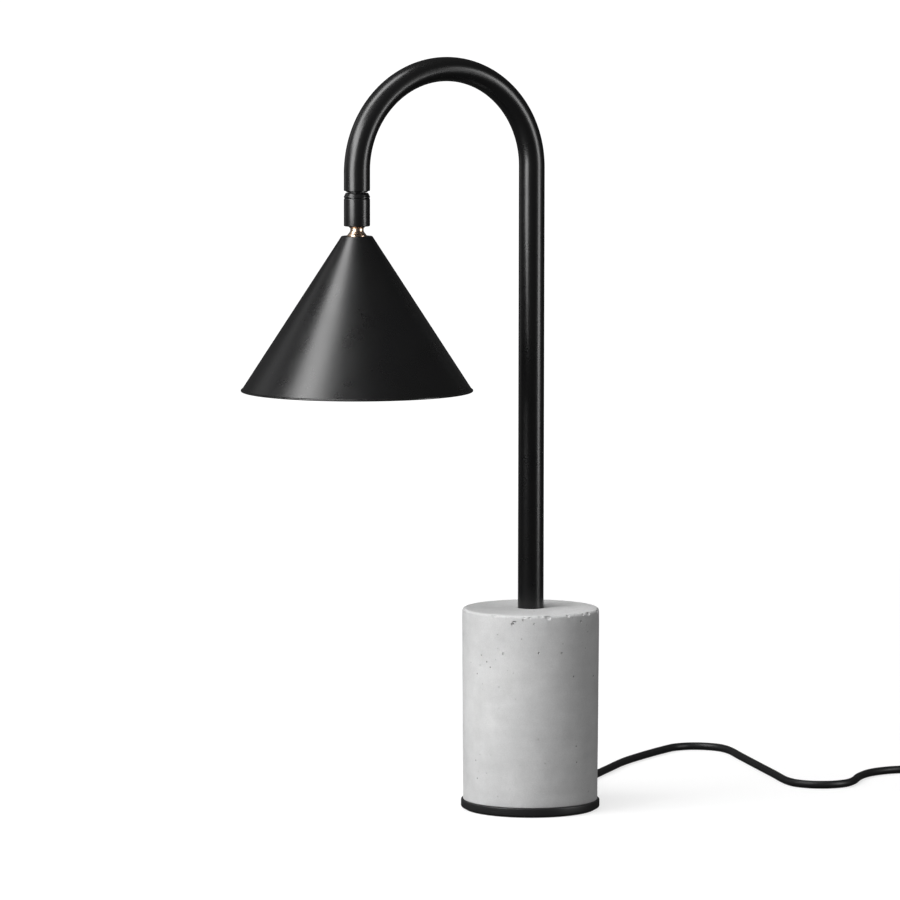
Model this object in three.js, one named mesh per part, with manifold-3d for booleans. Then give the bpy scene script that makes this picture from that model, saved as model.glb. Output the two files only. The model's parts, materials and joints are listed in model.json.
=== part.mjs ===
// Table lamp: concrete base, arched tube, conical shade on a ball joint, mains lead with switch and plug.
// Millimetres, +Z up. The origin is the centre of the face that rests on the table, under the upright tube.
// The arch lies in the XZ plane with the shade towards -X. The lead leaves the back of the base.
import * as THREE from "three";
import { mergeVertices } from "three/addons/utils/BufferGeometryUtils.js";
import Module from "manifold-3d";

const wasm = await Module();
wasm.setup();

// ---------- Driving dimensions ----------

const GAP = 0.3; // between touching pieces that are not turned in one setting

const pad = { radius: 41, thickness: 1 };
const plate = { radius: 43.2, thickness: 5, edge: 0.8 };
const concrete = { bottomRadius: 41.9, topRadius: 42.7, height: 119.8, edge: 1.4 };
const socket = { radius: 8.4, depth: 50 };
const cavity = { radius: 24, height: 28 };
const nippleBore = 5.5;

const tube = { radius: 8, wall: 1.2 };
const arch = { reach: 122.4, springHeight: 400 };
const legEnd = 388.2;

const ball = { height: 370.2, radius: 6.3, seat: 6.5 };
const neck = { waistRadius: 4.1, waistHeight: 364.1, footRadius: 6.05, footHeight: 361.4 };
const sleeve = { bottom: 366.7, top: 383.7, bore: 6.9, mouth: 6.6, edge: 0.3 };
const collar = { bottom: 384, top: 387.3 };
const shankRadius = 3.95;

const shade = { topHeight: 360.7, rimHeight: 266, topRadius: 9.45, rimRadius: 71, wall: 1, top: 1.2 };
const bulb = { radius: 7.5, bottom: 276, top: 311.7 };

const lead = { radius: 2.5, layHeight: 2.6 };
const gland = {
  height: 13.5,
  angle: 41,
  inner: 26,
  flangeStart: 40.8,
  flangeEnd: 43.4,
  tip: 68,
  bodyRadius: 4.7,
  flangeRadius: 6.5,
  tipRadius: 3.2,
};
const inlineSwitch = { x: 307, near: -42, relief: 12, length: 60, width: 24, height: 15 };
const coil = { x: 272, y: -162, inner: 17.2, outer: 37.5, bottom: 0.9, top: 11.1 };
const plug = {
  y: -197,
  near: 240,
  relief: 18,
  length: 36,
  width: 35,
  height: 13.7,
  pinLength: 19,
  pinRadius: 2,
  pinOffset: 9.4,
};

const plateTop = pad.thickness + plate.thickness;
const concreteTop = plateTop + concrete.height;
const socketFloor = concreteTop - socket.depth;
const cavityTop = plateTop + cavity.height;
const degrees = Math.PI / 180;

// ---------- Materials ----------

const material = (color, roughness, metalness) =>
  new THREE.MeshStandardMaterial({ color, roughness, metalness });

const blackMetal = material(0x17181a, 0.38, 0.3);
const blackPlastic = material(0x141414, 0.5, 0);
const blackRubber = material(0x191919, 0.7, 0);
const castConcrete = material(0xb4b4b4, 0.9, 0);
const polishedBrass = material(0xc9a06b, 0.25, 0.9);
const zincSteel = material(0xa8a9ab, 0.4, 0.9);
const whiteCeramic = material(0xe6e3dc, 0.5, 0);
const frostedGlass = material(0xf4f1ea, 0.3, 0);

// ---------- Solids ----------

// One closed body with merged vertices, no collapsed triangles and its faces pointing out.
function closed(geometry) {
  const bare = geometry.index ? geometry.toNonIndexed() : geometry;
  bare.deleteAttribute("normal");
  bare.deleteAttribute("uv");
  const merged = mergeVertices(bare, 1e-4);
  const at = merged.attributes.position;
  const kept = [];
  let volume = 0;
  const [a, b, c] = [new THREE.Vector3(), new THREE.Vector3(), new THREE.Vector3()];
  for (let i = 0; i < merged.index.count; i += 3) {
    const [p, q, r] = [0, 1, 2].map((corner) => merged.index.getX(i + corner));
    if (p === q || q === r || r === p) continue;
    kept.push(p, q, r);
    a.fromBufferAttribute(at, p);
    b.fromBufferAttribute(at, q);
    c.fromBufferAttribute(at, r);
    volume += a.dot(b.cross(c));
  }
  if (volume < 0) kept.reverse();
  merged.setIndex(kept);
  return merged;
}

function toManifold(geometry) {
  const solid = closed(geometry);
  const mesh = new wasm.Mesh({
    numProp: 3,
    vertProperties: solid.attributes.position.array,
    triVerts: new Uint32Array(solid.index.array),
  });
  return new wasm.Manifold(mesh);
}

function fromManifold(manifold) {
  const mesh = manifold.getMesh();
  const geometry = new THREE.BufferGeometry();
  geometry.setAttribute("position", new THREE.BufferAttribute(mesh.vertProperties, 3));
  geometry.setIndex(new THREE.BufferAttribute(mesh.triVerts, 1));
  return geometry;
}

function cut(geometry, ...tools) {
  const left = tools.reduce((body, tool) => body.subtract(toManifold(tool)), toManifold(geometry));
  return fromManifold(left);
}

function join(...geometries) {
  return fromManifold(geometries.map(toManifold).reduce((body, next) => body.add(next)));
}

// Turned about Z from points [radius, height]. An outline that stays off the axis is closed on itself.
function turned(outline, segments = 24) {
  const onAxis = outline[0][0] === 0 && outline.at(-1)[0] === 0;
  const loop = onAxis ? outline : [...outline, outline[0]];
  const points = loop.map(([radius, height]) => new THREE.Vector2(radius, height));
  return closed(new THREE.LatheGeometry(points, segments).rotateX(Math.PI / 2));
}

const disc = (radius, low, high, segments = 24) =>
  turned([[0, low], [radius, low], [radius, high], [0, high]], segments);

const ring = (inner, outer, low, high, segments = 24) =>
  turned([[inner, low], [outer, low], [outer, high], [inner, high]], segments);

function hexRing(inner, acrossFlats, low, high) {
  const outer = disc(acrossFlats / Math.sqrt(3), low, high, 6);
  return cut(outer, disc(inner, low - 1, high + 1, 20));
}

function block(width, depth, low, high, x = 0, y = 0) {
  const box = new THREE.BoxGeometry(width, depth, high - low);
  return closed(box.translate(x, y, (low + high) / 2));
}

// Points of a round arc in an outline, angles in degrees.
function arcPoints(centreRadius, centreHeight, radius, from, to, steps) {
  return Array.from({ length: steps + 1 }, (_, i) => {
    const angle = (from + ((to - from) * i) / steps) * degrees;
    return [centreRadius + radius * Math.cos(angle), centreHeight + radius * Math.sin(angle)];
  });
}

// A rounded rectangle, width along X and depth along Y.
function roundedRectangle(width, depth, corner) {
  const [x, y] = [width / 2, depth / 2];
  const shape = new THREE.Shape();
  shape.moveTo(-x + corner, -y);
  shape.lineTo(x - corner, -y);
  shape.absarc(x - corner, -y + corner, corner, -Math.PI / 2, 0, false);
  shape.lineTo(x, y - corner);
  shape.absarc(x - corner, y - corner, corner, 0, Math.PI / 2, false);
  shape.lineTo(-x + corner, y);
  shape.absarc(-x + corner, y - corner, corner, Math.PI / 2, Math.PI, false);
  shape.lineTo(-x, -y + corner);
  shape.absarc(-x + corner, -y + corner, corner, Math.PI, 1.5 * Math.PI, false);
  return shape;
}

function extruded(shape, low, high, curveSegments = 4) {
  const depth = high - low;
  const body = new THREE.ExtrudeGeometry(shape, { depth, bevelEnabled: false, curveSegments });
  return closed(body.translate(0, 0, low));
}

// The section's corners sit on the circle, flat sides aligned with the axes.
function circle(radius, sides) {
  const shape = new THREE.Shape();
  for (let i = 0; i < sides; i += 1) {
    const angle = ((i + 0.5) / sides) * 2 * Math.PI;
    const [x, y] = [radius * Math.cos(angle), radius * Math.sin(angle)];
    if (i === 0) shape.moveTo(x, y);
    else shape.lineTo(x, y);
  }
  shape.closePath();
  return shape;
}

const along = (shape, path, steps) =>
  closed(new THREE.ExtrudeGeometry(shape, { extrudePath: path, steps, bevelEnabled: false }));

// The tube's centre line: up, over in a half circle and down. One step spans each straight run.
class ArchedPath extends THREE.Curve {
  constructor(footHeight, endHeight, arcSteps) {
    super();
    this.ends = [footHeight, endHeight];
    this.steps = arcSteps + 2;
    this.radius = arch.reach / 2;
  }
  getPointAt(u, target = new THREE.Vector3()) {
    const station = Math.round(u * this.steps);
    const turn = (Math.min(Math.max(station - 1, 0), this.steps - 2) / (this.steps - 2)) * Math.PI;
    target.x = this.radius * (Math.cos(turn) - 1);
    target.z = arch.springHeight + this.radius * Math.sin(turn);
    if (station === 0) target.z = this.ends[0];
    if (station === this.steps) target.z = this.ends[1];
    return target;
  }
  getTangentAt(u, target = new THREE.Vector3()) {
    const station = Math.round(u * this.steps);
    const turn = (Math.min(Math.max(station - 1, 0), this.steps - 2) / (this.steps - 2)) * Math.PI;
    return target.set(-Math.sin(turn), 0, Math.cos(turn));
  }
}

const routeOf = (points) =>
  new THREE.CatmullRomCurve3(points.map((point) => new THREE.Vector3(...point)), false, "centripetal");

function place(parent, name, geometry, look) {
  const mesh = new THREE.Mesh(geometry, look);
  mesh.name = name;
  parent.add(mesh);
  return mesh;
}

const lamp = new THREE.Group();

// ---------- Base ----------

const screwCircle = 33;
const screwAngles = [100, 220, 340];
const screw = { shank: 2, clearance: 2.3, head: 3.7, headBottom: 1.1, headTop: 3.2, tip: 16 };
const insert = { bore: 2.2, radius: 3.6, top: 18 };

const atScrew = (geometry, angle) =>
  geometry.translate(screwCircle, 0, 0).rotateZ(angle * degrees);

function makeBase() {
  place(lamp, "base_pad", disc(pad.radius, 0, pad.thickness, 40), blackRubber);

  const { radius, edge } = plate;
  const outline = [
    [0, pad.thickness],
    [radius - edge, pad.thickness],
    [radius, pad.thickness + edge],
    [radius, plateTop - edge],
    [radius - edge, plateTop],
    [0, plateTop],
  ];
  const sink = screw.head + GAP;
  const countersink = [
    [0, 0],
    [sink, 0],
    [sink, 1.5],
    [screw.clearance, screw.headTop + 0.2],
    [screw.clearance, plateTop + 2],
    [0, plateTop + 2],
  ];
  const screwHoles = screwAngles.map((angle) => atScrew(turned(countersink, 16), angle));
  place(lamp, "base_plate", cut(turned(outline, 48), ...screwHoles), blackMetal);

  screwAngles.forEach((angle, i) => {
    const outlineOfScrew = [
      [0, screw.headBottom],
      [screw.head, screw.headBottom],
      [screw.head, screw.headBottom + 0.4],
      [screw.shank, screw.headTop],
      [screw.shank, screw.tip],
      [0, screw.tip],
    ];
    place(lamp, `plate_screw_${i + 1}`, atScrew(turned(outlineOfScrew, 12), angle), zincSteel);
    const nut = ring(insert.bore, insert.radius, plateTop + GAP, insert.top, 12);
    place(lamp, `plate_insert_${i + 1}`, atScrew(nut, angle), polishedBrass);
  });
}

function makeConcrete() {
  const { bottomRadius, topRadius, edge } = concrete;
  const outline = [
    [cavity.radius, plateTop],
    [bottomRadius - 0.5, plateTop],
    [bottomRadius, plateTop + 0.5],
    ...arcPoints(topRadius - edge, concreteTop - edge, edge, 0, 90, 3),
    [socket.radius, concreteTop],
    [socket.radius, socketFloor],
    [nippleBore, socketFloor],
    [nippleBore, cavityTop],
    [cavity.radius, cavityTop],
  ];
  const intoConcrete = (geometry) =>
    geometry.rotateY(90 * degrees).translate(0, 0, gland.height).rotateZ(gland.angle * degrees);
  const beyondWall = bottomRadius + 8;
  const channelStart = cavity.radius - 4;
  const channel = intoConcrete(disc(gland.bodyRadius + GAP, channelStart, beyondWall, 20));
  const seatRadius = gland.flangeRadius + GAP;
  const flangeSeat = intoConcrete(disc(seatRadius, gland.flangeStart - 0.2, beyondWall, 20));
  const insertHoles = screwAngles.map((angle) =>
    atScrew(disc(insert.radius + GAP / 3, plateTop - 1, insert.top + GAP, 16), angle),
  );
  const body = cut(turned(outline, 48), channel, flangeSeat, ...insertHoles);
  place(lamp, "concrete_base", body, castConcrete);

  // The gland's flange sits in the counterbore; its tapered tail carries the lead away from the base.
  const relief = [
    [0, gland.inner],
    [gland.bodyRadius, gland.inner],
    [gland.bodyRadius, gland.flangeStart],
    [gland.flangeRadius, gland.flangeStart],
    [gland.flangeRadius, gland.flangeEnd],
    [gland.bodyRadius, gland.flangeEnd + 0.8],
    [gland.tipRadius, gland.tip],
    [0, gland.tip],
  ];
  place(lamp, "cord_gland", intoConcrete(turned(relief, 20)), blackRubber);
  const innerEnd = disc(lead.radius, gland.inner / 2, gland.inner - GAP, 12);
  place(lamp, "cord_inner_end", intoConcrete(innerEnd), blackRubber);

  const terminals = block(20, 12, plateTop, plateTop + 12, -4, -6);
  place(lamp, "terminal_block", terminals, whiteCeramic);
}

// ---------- Stem ----------

const foot = {
  bushTop: 90,
  nippleBottom: 27,
  nippleTop: 89,
  nippleRadius: 5,
  nippleHole: 3.5,
  washerRadius: 13,
  washerBottom: cavityTop - 1.6,
  nutBottom: cavityTop - 6.6,
  nutAcrossFlats: 14,
};
const wiringRadius = 2.2;

function makeStem() {
  const wall = circle(tube.radius, 20);
  wall.holes.push(circle(tube.radius - tube.wall, 14));
  const arcSteps = 30;
  const path = new ArchedPath(socketFloor, legEnd, arcSteps);
  place(lamp, "stem_tube", along(wall, path, arcSteps + 2), blackMetal);

  const inside = tube.radius - tube.wall - GAP;
  const bush = ring(foot.nippleRadius + 0.1, inside, socketFloor, foot.bushTop);
  place(lamp, "tube_foot_bush", bush, zincSteel);
  const nipple = ring(foot.nippleHole, foot.nippleRadius, foot.nippleBottom, foot.nippleTop);
  place(lamp, "stem_nipple", nipple, zincSteel);
  const washer = ring(foot.nippleRadius + 0.2, foot.washerRadius, foot.washerBottom, cavityTop);
  place(lamp, "stem_washer", washer, zincSteel);
  const thread = foot.nippleRadius + 0.1;
  const nut = hexRing(thread, foot.nutAcrossFlats, foot.nutBottom, foot.washerBottom);
  place(lamp, "stem_nut", nut, zincSteel);

  const sleeving = new ArchedPath(plateTop + 13, legEnd + 12, arcSteps);
  place(lamp, "wiring_sleeve", along(circle(wiringRadius, 8), sleeving, arcSteps + 2), whiteCeramic);
}

// ---------- Joint, on the short leg's axis ----------

const legAxis = new THREE.Group();
legAxis.position.x = -arch.reach;
lamp.add(legAxis);

const spigot = { radius: 4, bottom: 377.2, clipLow: 378.2, clipHigh: 379.2, groove: 3.4, hole: 2.4 };
const insertion = 10; // of the end plug into the tube

function makeEndPlug() {
  const plugRadius = tube.radius - tube.wall - GAP;
  const outline = [
    [spigot.hole, spigot.bottom],
    [spigot.radius, spigot.bottom],
    [spigot.radius, spigot.clipLow],
    [spigot.groove, spigot.clipLow],
    [spigot.groove, spigot.clipHigh],
    [spigot.radius, spigot.clipHigh],
    [spigot.radius, collar.top + 0.1],
    [plugRadius, collar.top + 0.1],
    [plugRadius, legEnd + insertion],
    [spigot.hole, legEnd + insertion],
  ];
  place(legAxis, "leg_end_plug", turned(outline), blackMetal);
  const clipRadius = 5.6;
  const clip = ring(spigot.groove + 0.1, clipRadius, spigot.clipLow + 0.1, spigot.clipHigh - 0.1);
  place(legAxis, "swivel_clip", clip, zincSteel);
}

function makeSwivel() {
  const chamfer = 0.7;
  const boss = { radius: sleeve.bore - 0.1, bottom: 376.5, hollow: 5.9 };
  const collarOutline = [
    [boss.hollow, boss.bottom],
    [boss.radius, boss.bottom],
    [boss.radius, collar.bottom],
    [tube.radius, collar.bottom],
    [tube.radius, collar.top - chamfer],
    [tube.radius - chamfer, collar.top],
    [spigot.radius + 0.2, collar.top],
    [spigot.radius + 0.2, spigot.clipHigh + GAP],
    [boss.hollow, spigot.clipHigh + GAP],
  ];
  place(legAxis, "swivel_collar", turned(collarOutline), blackMetal);

  // The socket holds the ball below its widest line, then flares so that the neck can tilt.
  const sleeveOutline = [
    [sleeve.bore, sleeve.top],
    [sleeve.bore, ball.height + 1],
    ...arcPoints(0, ball.height, ball.seat, 0, -22.6, 3),
    [sleeve.mouth, sleeve.bottom],
    [tube.radius - sleeve.edge, sleeve.bottom],
    [tube.radius, sleeve.bottom + sleeve.edge],
    [tube.radius, sleeve.top],
  ];
  place(legAxis, "joint_sleeve", turned(sleeveOutline), blackMetal);

  const cupTop = 375;
  const cupOutline = [
    ...arcPoints(0, ball.height, ball.seat, 10, 39, 3),
    [5.05, cupTop],
    [sleeve.bore - 0.2, cupTop],
    [sleeve.bore - 0.2, ball.height + 1.13],
  ];
  place(legAxis, "friction_cup", turned(cupOutline), whiteCeramic);
  const spring = ring(5, sleeve.bore - GAP, cupTop + 0.1, cupTop + 1.4);
  place(legAxis, "spring_washer", spring, zincSteel);
}

function makeBallStud() {
  const [hole, shankBottom] = [2, 350];
  const [neckAngle, crownAngle] = [-49, 71]; // where the ball meets the neck and the flat at its top
  const outline = [
    [hole, shankBottom],
    [shankRadius, shankBottom],
    [shankRadius, shade.topHeight],
    [neck.footRadius, shade.topHeight],
    [neck.footRadius, neck.footHeight],
    [4.7, 362.7],
    [neck.waistRadius, neck.waistHeight],
    ...arcPoints(0, ball.height, ball.radius, neckAngle, crownAngle, 10),
    [hole, ball.height + ball.radius * Math.sin(crownAngle * degrees)],
  ];
  place(legAxis, "ball_stud", turned(outline), polishedBrass);
}

// ---------- Shade and lampholder ----------

const holder = {
  screwOffset: 11.4,
  pinOffset: 4.5,
  bottom: 324,
  earBottom: 343,
  top: 348,
  radius: 9.4,
  length: 27.2,
  width: 9,
};

function makeShade() {
  const slope = Math.atan2(shade.rimRadius - shade.topRadius, shade.topHeight - shade.rimHeight);
  const wallAcross = shade.wall / Math.cos(slope);
  const topUnder = shade.topHeight - shade.top;
  const innerTop = shade.topRadius + shade.top * Math.tan(slope) - wallAcross;
  const [washerBottom, washerRadius, nutBottom, acrossFlats] = [358.3, 8, 354.8, 12.5];
  const outline = [
    [shankRadius + 0.25, topUnder],
    [innerTop, topUnder],
    [shade.rimRadius - wallAcross, shade.rimHeight],
    [shade.rimRadius, shade.rimHeight],
    [shade.topRadius, shade.topHeight],
    [shankRadius + 0.25, shade.topHeight],
  ];
  place(legAxis, "shade_shell", turned(outline, 56), blackMetal);
  const washer = ring(shankRadius + 0.25, washerRadius, washerBottom, topUnder);
  place(legAxis, "shade_washer", washer, zincSteel);
  const nut = hexRing(shankRadius + 0.1, acrossFlats, nutBottom, washerBottom);
  place(legAxis, "shade_ring_nut", nut, polishedBrass);
}

function makeHolder() {
  // A hat-shaped strap: a crown clamped on the shank, two legs and two feet with screw holes.
  const strap = new THREE.Shape();
  const half = [[13.6, 348.1], [13.6, 349.3], [8.8, 349.3], [8.8, 354.7], [0, 354.7]];
  const under = [[0, 353.4], [7.6, 353.4], [7.6, 348.1]];
  const mirrored = (points) => points.map(([x, z]) => [-x, z]).reverse();
  const outline = [...half, ...mirrored(half).slice(1), ...mirrored(under), ...under.slice(1)];
  outline.forEach(([x, z], i) => (i ? strap.lineTo(x, z) : strap.moveTo(x, z)));
  const depth = holder.width;
  const body = new THREE.ExtrudeGeometry(strap, { depth, bevelEnabled: false });
  body.rotateX(90 * degrees).translate(0, depth / 2, 0);
  const sides = [-holder.screwOffset, holder.screwOffset];
  const footHoles = sides.map((x) => disc(1.7, 345, 352, 12).translate(x, 0, 0));
  const shankHole = disc(shankRadius + 0.2, 352, 356, 20);
  place(legAxis, "holder_bracket", cut(body, shankHole, ...footHoles), zincSteel);
  place(legAxis, "holder_nut", hexRing(shankRadius + 0.1, 12, 350.2, 353.3), zincSteel);

  const ears = block(holder.length, holder.width, holder.earBottom, holder.top);
  const earHoles = sides.map((x) => disc(1.6, 340, 350, 12).translate(x, 0, 0));
  const pinHoles = [-holder.pinOffset, holder.pinOffset].map((x) =>
    disc(1.2, holder.bottom - 4, 338, 12).translate(x, 0, 0),
  );
  const ceramic = join(disc(holder.radius, holder.bottom, holder.top, 28), ears);
  place(legAxis, "lampholder", cut(ceramic, ...earHoles, ...pinHoles), whiteCeramic);
  sides.forEach((x, i) => {
    const clampScrew = [[0, 341], [1.4, 341], [1.4, 349.4], [2.3, 349.4], [2, 351], [0, 351]];
    place(legAxis, `holder_screw_${i + 1}`, turned(clampScrew, 12).translate(x, 0, 0), zincSteel);
  });
  const wires = disc(1.6, holder.top + GAP, ball.height + 6, 10);
  place(legAxis, "holder_lead", wires, whiteCeramic);
}

function makeBulb() {
  const base = extruded(roundedRectangle(14, 9, 3), bulb.top + GAP, holder.bottom - GAP);
  place(legAxis, "bulb_base", base, whiteCeramic);
  [-holder.pinOffset, holder.pinOffset].forEach((x, i) => {
    const pin = disc(0.8, holder.bottom - 0.2, 336, 10).translate(x, 0, 0);
    place(legAxis, `bulb_pin_${i + 1}`, pin, zincSteel);
  });
  const round = bulb.radius * 0.9;
  const capsule = [
    [0, bulb.bottom],
    ...arcPoints(bulb.radius - round, bulb.bottom + round, round, -90, 0, 5).slice(1),
    [bulb.radius, bulb.top],
    [0, bulb.top],
  ];
  place(legAxis, "bulb_capsule", turned(capsule, 20), frostedGlass);
}

// ---------- Lead, switch, coil and plug ----------

const glandWay = [Math.cos(gland.angle * degrees), Math.sin(gland.angle * degrees)];
const fromBase = (distance, height) => [distance * glandWay[0], distance * glandWay[1], height];

// Out of the gland, down to the table, round two loose bends and up into the switch.
const lampRoute = [
  fromBase(gland.tip + GAP, gland.height),
  [57.5, 50, 13.2],
  [65, 56.5, 11],
  [73, 63.5, 6.4],
  [81, 70.5, 3.4],
  [88.5, 77, lead.layHeight],
  [113, 98.5, lead.layHeight],
  [143.5, 125, lead.layHeight],
  [192.5, 156.5, lead.layHeight],
  [202.3, 161, lead.layHeight],
  [213, 160.5, lead.layHeight],
  [222, 154.5, lead.layHeight],
  [227, 145, lead.layHeight],
  [227, 134, lead.layHeight],
  [219, 105, lead.layHeight],
  [208.5, 68, lead.layHeight],
  [198, 30.5, lead.layHeight],
  [190, 1.5, lead.layHeight],
  [190, -9.7, lead.layHeight],
  [195.6, -19.4, lead.layHeight],
  [205.3, -25, lead.layHeight],
  [216.5, -25, lead.layHeight],
  [226, -19.5, lead.layHeight],
  [241.5, -4, lead.layHeight],
  [256, 5.5, lead.layHeight],
  [273, 8.5, lead.layHeight],
  [289, 4, lead.layHeight],
  [300, -5.5, 3.2],
  [305.5, -17, 4.6],
  [inlineSwitch.x, -30, 6.6],
  [inlineSwitch.x, inlineSwitch.near + GAP, inlineSwitch.height / 2],
];
const switchFar = inlineSwitch.near - 2 * inlineSwitch.relief - inlineSwitch.length;
const coilRoute = [
  [inlineSwitch.x, switchFar - GAP, inlineSwitch.height / 2],
  [inlineSwitch.x, switchFar - 8, 6.6],
  [inlineSwitch.x, switchFar - 15.4, 5.2],
];
const plugRoute = [
  [coil.x - 21, plug.y, 7.6],
  [coil.x - 26, plug.y, 7.1],
  [plug.near + GAP, plug.y, plug.height / 2],
];

// A straight tapered sleeve along +X from its wide end.
const taper = (length, wide, narrow) =>
  turned([[0, 0], [wide, 0], [narrow, length], [0, length]], 16).rotateY(90 * degrees);

function makeLead() {
  const section = circle(lead.radius, 12);
  place(lamp, "lead_to_switch", along(section, routeOf(lampRoute), 52), blackRubber);
  place(lamp, "lead_to_coil", along(section, routeOf(coilRoute), 3), blackRubber);
  place(lamp, "lead_to_plug", along(section, routeOf(plugRoute), 2), blackRubber);

  const round = 3;
  const { inner, outer, bottom, top } = coil;
  const bundleSection = [
    [inner, bottom + round],
    [inner + round, bottom],
    [outer - round, bottom],
    [outer, bottom + round],
    [outer, top - round],
    [outer - round, top],
    [inner + round, top],
    [inner, top - round],
  ];
  const bundle = turned(bundleSection, 40).translate(coil.x, coil.y, 0);
  place(lamp, "lead_coil", bundle, blackRubber);

  const [tieInner, tieOuter, tieWidth, tieWall, tieAngle] = [inner - 1.2, outer + GAP, 10, 0.8, 150];
  const middle = (tieInner + tieOuter) / 2;
  const across = tieOuter - tieInner;
  const bandTop = top + GAP + tieWall;
  const band = block(across + 2 * tieWall, tieWidth, 0, bandTop, middle);
  const opening = block(across, tieWidth + 2, bottom - GAP, top + GAP, middle);
  const tie = cut(band, opening).rotateZ(tieAngle * degrees).translate(coil.x, coil.y, 0);
  place(lamp, "coil_tie", tie, blackRubber);
}

const rocker = { length: 17, width: 11, depth: 3, tilt: 7, pivot: 11.8, dip: 1.2 };
const housingScrews = [-22, 22];

function makeSwitch() {
  const { relief, length, width, height } = inlineSwitch;
  const body = new THREE.Group();
  body.position.set(inlineSwitch.x, inlineSwitch.near - relief - length / 2, 0);
  lamp.add(body);

  const split = height / 2;
  const outline = roundedRectangle(width, length, 7);
  const lower = extruded(outline, 0, split, 5);
  const screwWells = housingScrews.map((y) => disc(1.9, -1, split + 1, 10).translate(0, y, 0));
  place(body, "switch_housing_bottom", cut(lower, ...screwWells), blackPlastic);

  const upper = extruded(outline, split, height, 5);
  const window = block(rocker.width + 0.8, rocker.length + 1, 9, height + 1);
  const screwBores = housingScrews.map((y) => disc(1.3, split - 1, split + 5, 10).translate(0, y, 0));
  place(body, "switch_housing_top", cut(upper, window, ...screwBores), blackPlastic);

  housingScrews.forEach((y, i) => {
    const smallScrew = [[0, 2.5], [1.7, 2.5], [1.7, 4], [1.1, 4], [1.1, 12], [0, 12]];
    place(body, `switch_screw_${i + 1}`, turned(smallScrew, 10).translate(0, y, 0), zincSteel);
  });

  const reliefs = [
    ["switch_relief_near", 90, length / 2],
    ["switch_relief_far", -90, -length / 2],
  ];
  reliefs.forEach(([name, turn, y]) => {
    const piece = taper(relief, 4.4, 3.1).rotateZ(turn * degrees);
    place(body, name, piece.translate(0, y, split), blackRubber);
  });

  // The rocker leans towards its off end about a pivot across the housing.
  const cap = new THREE.Shape();
  const [half, rise] = [rocker.length / 2, rocker.depth];
  cap.moveTo(-half, 0.6);
  cap.lineTo(-3, -1.6);
  cap.lineTo(3, -1.6);
  cap.lineTo(half, 0.6);
  cap.lineTo(half, rise);
  cap.quadraticCurveTo(0, rise - rocker.dip, -half, rise);
  const blade = new THREE.ExtrudeGeometry(cap, {
    depth: rocker.width,
    bevelEnabled: false,
    curveSegments: 6,
  });
  blade.translate(0, 0, -rocker.width / 2).rotateY(90 * degrees).rotateX(90 * degrees);
  const leaning = blade.rotateX(rocker.tilt * degrees).translate(0, 0, rocker.pivot);
  place(body, "switch_rocker", closed(leaning), blackPlastic);
}

function makePlug() {
  const { relief, length, width, height, pinLength, pinRadius, pinOffset } = plug;
  const body = new THREE.Group();
  body.position.set(plug.near, plug.y, height / 2);
  lamp.add(body);

  const nose = width / 2;
  const outline = new THREE.Shape();
  outline.moveTo(-relief, -5);
  outline.lineTo(-relief - 9, -nose + 2);
  outline.lineTo(-relief - 14, -nose);
  outline.lineTo(-relief - length, -nose + 3);
  outline.lineTo(-relief - length, nose - 3);
  outline.lineTo(-relief - 14, nose);
  outline.lineTo(-relief - 9, nose - 2);
  outline.lineTo(-relief, 5);
  place(body, "plug_body", extruded(outline, -height / 2, height / 2), blackPlastic);

  const tail = taper(relief - GAP, 4.6, 3.1).translate(-relief + GAP, 0, 0);
  place(body, "plug_relief", tail, blackRubber);
  [-pinOffset, pinOffset].forEach((y, i) => {
    const outlineOfPin = [
      [0, 0],
      [pinRadius, 0],
      [pinRadius, pinLength - 1.2],
      [pinRadius / 2, pinLength],
      [0, pinLength],
    ];
    const pin = turned(outlineOfPin, 12).rotateY(-90 * degrees);
    const placed = pin.translate(-relief - length - 0.05, y, 0);
    place(body, `plug_pin_${i + 1}`, placed, zincSteel);
  });
}

makeBase();
makeConcrete();
makeStem();
makeEndPlug();
makeSwivel();
makeBallStud();
makeShade();
makeHolder();
makeBulb();
makeLead();
makeSwitch();
makePlug();

export default lamp;
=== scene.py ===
"""Table lamp: the looks. A concrete base, an arched black tube, a conical shade on a brass ball joint and a
mains lead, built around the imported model. Lengths are written in millimetres and scaled once, by MM."""

import json
import math
import random

import bmesh
import bpy
from mathutils import Matrix, Vector, noise


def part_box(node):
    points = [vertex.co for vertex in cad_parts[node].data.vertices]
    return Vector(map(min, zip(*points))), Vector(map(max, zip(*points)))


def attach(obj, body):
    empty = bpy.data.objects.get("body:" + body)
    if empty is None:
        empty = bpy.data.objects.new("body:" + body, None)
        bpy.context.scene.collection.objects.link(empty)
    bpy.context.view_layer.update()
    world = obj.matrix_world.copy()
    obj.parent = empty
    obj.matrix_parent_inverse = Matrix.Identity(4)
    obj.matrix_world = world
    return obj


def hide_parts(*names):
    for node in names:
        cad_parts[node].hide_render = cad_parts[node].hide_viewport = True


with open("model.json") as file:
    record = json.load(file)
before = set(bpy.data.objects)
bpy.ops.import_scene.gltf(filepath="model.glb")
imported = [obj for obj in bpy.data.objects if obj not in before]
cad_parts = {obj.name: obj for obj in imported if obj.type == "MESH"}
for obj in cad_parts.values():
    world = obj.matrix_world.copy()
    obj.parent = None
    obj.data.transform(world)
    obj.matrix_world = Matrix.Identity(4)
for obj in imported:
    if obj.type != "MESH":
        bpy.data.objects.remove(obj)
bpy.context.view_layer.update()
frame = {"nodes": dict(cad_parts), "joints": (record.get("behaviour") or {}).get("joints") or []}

MM = 0.001
TURN = 2 * math.pi
nodes = frame["nodes"]
scene = bpy.context.scene


def box_mm(node):
    """A CAD node's lowest and highest corners in millimetres."""
    low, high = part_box(node)
    return low / MM, high / MM


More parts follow.
